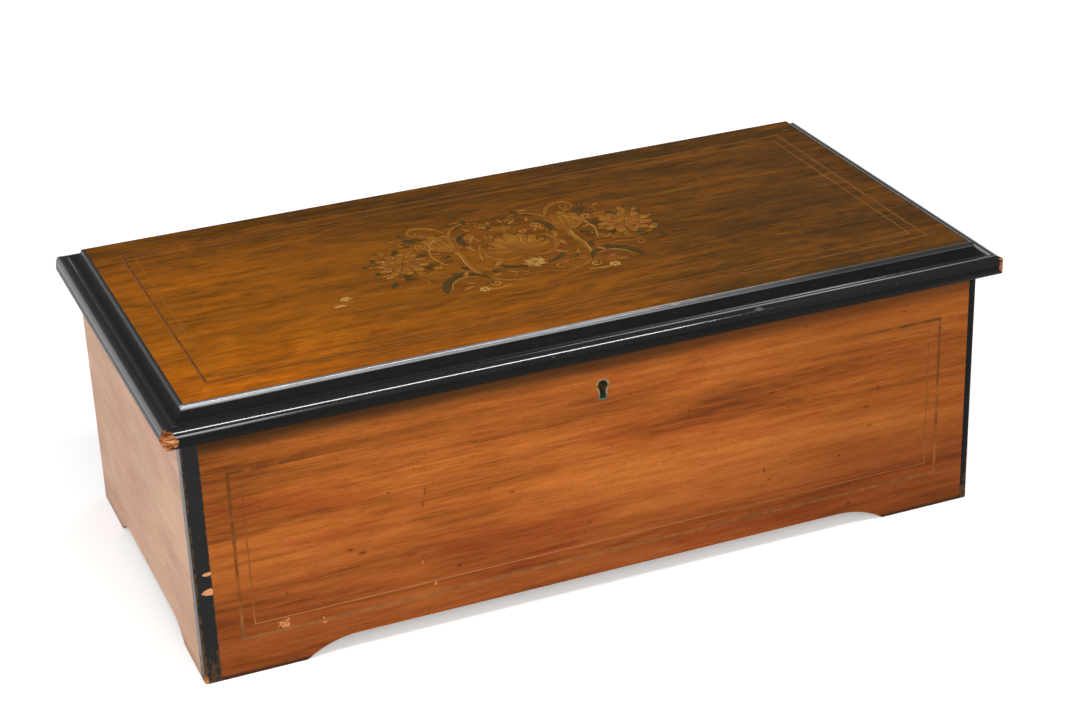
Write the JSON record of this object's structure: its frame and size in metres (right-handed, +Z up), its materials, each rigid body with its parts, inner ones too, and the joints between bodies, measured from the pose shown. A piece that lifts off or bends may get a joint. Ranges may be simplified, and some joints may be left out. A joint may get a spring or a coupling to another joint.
{
  "type": "cylinder musical box",
  "caption": "Long veneered case on bracket feet with a hinged moulded lid, a glazed inner lid, a pinned cylinder, comb, spring barrel, wind lever and fan governor.",
  "frame": {"origin": "on the surface that the feet stand on, below the middle of the lid", "axes": "+X to the right along the front, +Y from the front to the back, +Z up"},
  "size_m": [0.5868, 0.3042, 0.198],
  "materials": {
    "veneer": "french polished figured veneer",
    "end_wood": "plain wood, satin",
    "ebonised": "black stain, french polished",
    "inner_wood": "plain wood, satin",
    "brass": "brushed and lacquered",
    "steel": "fine ground",
    "blued_steel": "heat blued",
    "lever_wood": "black stain, polished",
    "glass": "clear, polished",
    "card": "matt, a little yellowed"
  },
  "bodies": {
    "case": {"front_panel": "veneer", "back_panel": "end_wood", "left_end_panel": "end_wood", "right_end_panel": "end_wood", "corner_strips": "ebonised", "bottom_board": "inner_wood", "bearer_rails": "inner_wood", "partitions": "inner_wood", "keyhole_liner": "brass", "lock_case": "brass", "case_hinge_leaves": "brass", "case_hinge_screws": "steel", "hinge_pins": "steel", "glass_case_hinges": "brass", "bedplate": "brass", "bedplate_bolts": "steel", "arbor_bearings": "brass", "comb": "steel", "comb_base": "brass", "comb_screws": "blued_steel", "governor_frame": "brass", "control_bracket": "brass", "pointer_bracket": "brass", "click_plate": "brass"},
    "lid": {"lid_board": "veneer", "lid_moulding_front": "ebonised", "lid_moulding_right": "ebonised", "lid_moulding_back": "ebonised", "lid_moulding_left": "ebonised", "lid_hinge_leaves": "brass", "lid_hinge_screws": "steel", "lock_strike": "brass", "tune_card": "card"},
    "inner_lid": {"glass_frame": "inner_wood", "glass_pane": "glass", "glass_lid_knob": "brass", "glass_lid_hinges": "brass"},
    "bolt": {"lock_bolt": "steel"},
    "arbor": {"cylinder_arbor": "steel", "cylinder_wheel": "brass"},
    "cylinder": {"cylinder_tube": "brass", "cylinder_caps": "brass"},
    "snail": {"change_snail": "steel"},
    "barrel": {"spring_barrel": "brass", "barrel_cover": "brass", "great_wheel": "brass", "mainspring": "steel"},
    "winding": {"winding_arbor": "steel", "ratchet_wheel": "steel"},
    "lever": {"winding_lever": "brass", "lever_knob": "lever_wood"},
    "pawl": {"lever_pawl": "steel"},
    "click": {"holding_click": "steel"},
    "first_wheel": {"governor_first_wheel": "brass"},
    "second_wheel": {"governor_second_wheel": "brass"},
    "fan": {"endless_screw": "steel", "fly_fan": "brass"},
    "starter": {"start_lever": "brass"},
    "changer": {"change_lever": "brass"},
    "pointer": {"tune_pointer": "blued_steel"}
  },
  "joints": [
    {"name": "lid_hinge", "type": "hinge", "parent": "case", "child": "lid", "pos_m": [0, 0.142, 0.17615], "axis": [-1, 0, 0], "range_deg": [0, 95]},
    {"name": "inner_lid_hinge", "type": "hinge", "parent": "case", "child": "inner_lid", "pos_m": [0, 0.124, 0.1658], "axis": [-1, 0, 0], "range_deg": [0, 86]},
    {"name": "lock_slide", "type": "slide", "parent": "case", "child": "bolt", "axis": [0, 0, 1], "range_m": [0, 0.008]},
    {"name": "cylinder_spin", "type": "hinge", "parent": "case", "child": "arbor", "pos_m": [0, 0.02, 0.087], "axis": [1, 0, 0], "continuous": true},
    {"name": "tune_shift", "type": "slide", "parent": "arbor", "child": "cylinder", "axis": [1, 0, 0], "range_m": [0, 0.00315]},
    {"name": "snail_turn", "type": "hinge", "parent": "arbor", "child": "snail", "pos_m": [0.147, 0.02, 0.105], "axis": [0, 1, 0], "range_deg": [0, 315]},
    {"name": "barrel_spin", "type": "hinge", "parent": "case", "child": "barrel", "pos_m": [0, 0.0596, 0.087], "axis": [1, 0, 0], "continuous": true},
    {"name": "first_wheel_spin", "type": "hinge", "parent": "case", "child": "first_wheel", "pos_m": [0, 0.0548, 0.10323], "axis": [1, 0, 0], "continuous": true},
    {"name": "second_wheel_spin", "type": "hinge", "parent": "case", "child": "second_wheel", "pos_m": [0, 0.06219, 0.08293], "axis": [1, 0, 0], "continuous": true},
    {"name": "fan_spin", "type": "hinge", "parent": "case", "child": "fan", "pos_m": [0.1655, 0.07319, 0], "axis": [0, 0, -1], "continuous": true},
    {"name": "lever_hinge", "type": "hinge", "parent": "case", "child": "lever", "pos_m": [0, 0.0596, 0.087], "axis": [-1, 0, 0], "range_deg": [0, 65]},
    {"name": "winding_turn", "type": "hinge", "parent": "case", "child": "winding", "pos_m": [0, 0.0596, 0.087], "axis": [-1, 0, 0], "range_deg": [0, 65]},
    {"name": "pawl_hinge", "type": "hinge", "parent": "lever", "child": "pawl", "pos_m": [0, 0.02732, 0.09386], "axis": [1, 0, 0], "range_deg": [0, 8]},
    {"name": "click_hinge", "type": "hinge", "parent": "case", "child": "click", "pos_m": [0, 0.0751, 0.06015], "axis": [1, 0, 0], "range_deg": [0, 10], "stiffness_Nm_per_rad": 0.01, "springref_deg": -11.46},
    {"name": "start_hinge", "type": "hinge", "parent": "case", "child": "starter", "pos_m": [0.18, -0.026, 0], "axis": [0, 0, 1], "range_deg": [0, 14]},
    {"name": "change_hinge", "type": "hinge", "parent": "case", "child": "changer", "pos_m": [0.18, -0.05, 0], "axis": [0, 0, -1], "range_deg": [0, 12]},
    {"name": "pointer_turn", "type": "hinge", "parent": "case", "child": "pointer", "pos_m": [-0.128, -0.016, 0], "axis": [0, 0, -1], "range_deg": [0, 14]}
  ],
  "couplings": [
    {"joint": "inner_lid_hinge", "follows": "lid_hinge", "ratio": 0.9},
    {"joint": "barrel_spin", "follows": "cylinder_spin", "ratio": -0.2},
    {"joint": "first_wheel_spin", "follows": "cylinder_spin", "ratio": -7},
    {"joint": "second_wheel_spin", "follows": "cylinder_spin", "ratio": 35},
    {"joint": "fan_spin", "follows": "cylinder_spin", "ratio": 840},
    {"joint": "snail_turn", "follows": "tune_shift", "rad_per_m": 1745.3},
    {"joint": "pointer_turn", "follows": "tune_shift", "rad_per_m": 76.9},
    {"joint": "winding_turn", "follows": "lever_hinge", "ratio": 1}
  ]
}
